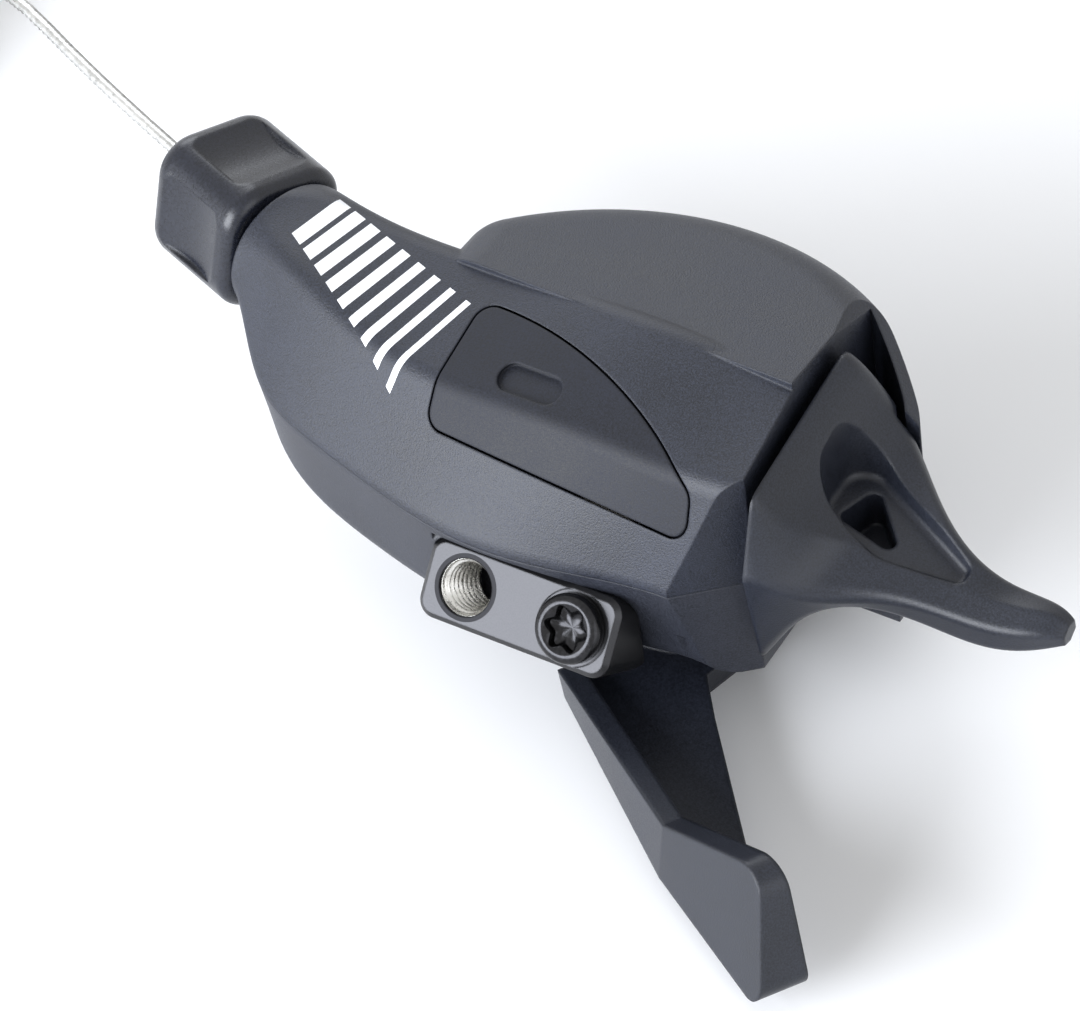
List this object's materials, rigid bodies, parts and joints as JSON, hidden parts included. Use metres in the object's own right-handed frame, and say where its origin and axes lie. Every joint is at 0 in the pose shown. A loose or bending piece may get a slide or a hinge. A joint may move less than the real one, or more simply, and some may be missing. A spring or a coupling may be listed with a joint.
{
  "type": "trigger gear shifter",
  "caption": "Trigger gear shifter for a flat handlebar: moulded pod with a thumb pull lever, a small release lever, a bolted clamp bracket, a barrel adjuster and an inner cable.",
  "frame": {"origin": "centre of the tapped clamp hole's mouth, on the bracket's pad", "axes": "+X along the handlebar towards its outer end, +Y forwards over the bar, +Z along the lever pivot, away from the pull lever and out of the cover"},
  "size_m": [0.1645, 0.0757, 0.0345],
  "materials": {
    "cover_plastic": "fine grained, dark charcoal",
    "base_plastic": "satin, dark charcoal",
    "plug_rubber": "matte, dark grey",
    "bracket_metal": "satin black anodised",
    "bolt_metal": "black, half gloss",
    "pull_plastic": "satin, near black",
    "release_plastic": "satin, near black",
    "knob_plastic": "satin black",
    "spool_plastic": "natural acetal",
    "hardened_steel": "stamped, hardened",
    "pin_steel": "ground",
    "washer_plastic": "natural acetal",
    "spring_steel": "drawn wire",
    "stem_metal": "black anodised",
    "cable_steel": "stranded stainless wire",
    "tie_plastic": "black"
  },
  "bodies": {
    "housing": {"base_housing": "base_plastic", "top_cover": "cover_plastic", "cable_port_plug": "plug_rubber", "mount_bracket": "bracket_metal", "bracket_bolt": "bolt_metal", "main_axle": "pin_steel", "axle_washer": "pin_steel", "thrust_washer": "washer_plastic", "hold_pawl_pin": "pin_steel", "release_pin": "pin_steel", "adjuster_stem": "stem_metal", "adjuster_detent_spring": "spring_steel", "cover_screw_1": "pin_steel", "cover_screw_2": "pin_steel", "cover_screw_3": "pin_steel", "spool_return_spring": "spring_steel", "hold_pawl_spring": "spring_steel", "pull_return_spring": "spring_steel", "release_spring": "spring_steel", "gear_cable_run": "cable_steel", "gear_cable_free": "cable_steel", "gear_cable_coil": "cable_steel", "coil_tie": "tie_plastic"},
    "pull_arm": {"pull_lever": "pull_plastic", "drive_pawl_pin": "pin_steel", "drive_pawl_spring": "spring_steel"},
    "driver": {"drive_pawl": "hardened_steel"},
    "spool": {"cable_spool": "spool_plastic", "ratchet_wheel": "hardened_steel", "cable_end": "cable_steel"},
    "holder": {"hold_pawl": "hardened_steel"},
    "release_arm": {"release_lever": "release_plastic"},
    "adjuster": {"barrel_adjuster": "knob_plastic"}
  },
  "joints": [
    {"name": "pull_swing", "type": "hinge", "parent": "housing", "child": "pull_arm", "pos_m": [0.0118, 0.0167, 0], "axis": [0, 0, 1], "range_deg": [0, 18], "stiffness_Nm_per_rad": 0.12, "springref_deg": -20.05, "deforming": ["pull_return_spring"]},
    {"name": "drive_pawl_tilt", "type": "hinge", "parent": "pull_arm", "child": "driver", "pos_m": [0.00141, 0.0227, 0], "axis": [0, 0, 1], "range_deg": [-10, 0], "stiffness_Nm_per_rad": 0.002, "springref_deg": 17.19, "deforming": ["drive_pawl_spring"]},
    {"name": "spool_turn", "type": "hinge", "parent": "housing", "child": "spool", "pos_m": [0.0118, 0.0167, 0], "axis": [0, 0, 1], "range_deg": [0, 18], "deforming": ["spool_return_spring"]},
    {"name": "hold_pawl_tilt", "type": "hinge", "parent": "housing", "child": "holder", "pos_m": [0.01563, 0.02722, 0], "axis": [0, 0, 1], "range_deg": [-12.5, 0], "deforming": ["hold_pawl_spring"]},
    {"name": "release_swing", "type": "hinge", "parent": "housing", "child": "release_arm", "pos_m": [0.028, 0.0218, 0], "axis": [0, 0, 1], "range_deg": [0, 10], "stiffness_Nm_per_rad": 0.05, "springref_deg": -20.05, "deforming": ["release_spring"]},
    {"name": "adjuster_turn", "type": "hinge", "parent": "housing", "child": "adjuster", "pos_m": [-0.0357, 0.02396, 0.008], "axis": [-0.9354, 0.3535, 0], "range_deg": [-180, 180]}
  ],
  "couplings": [
    {"joint": "spool_turn", "follows": "pull_swing", "ratio": 1},
    {"joint": "hold_pawl_tilt", "follows": "pull_swing", "ratio": -0.67}
  ]
}
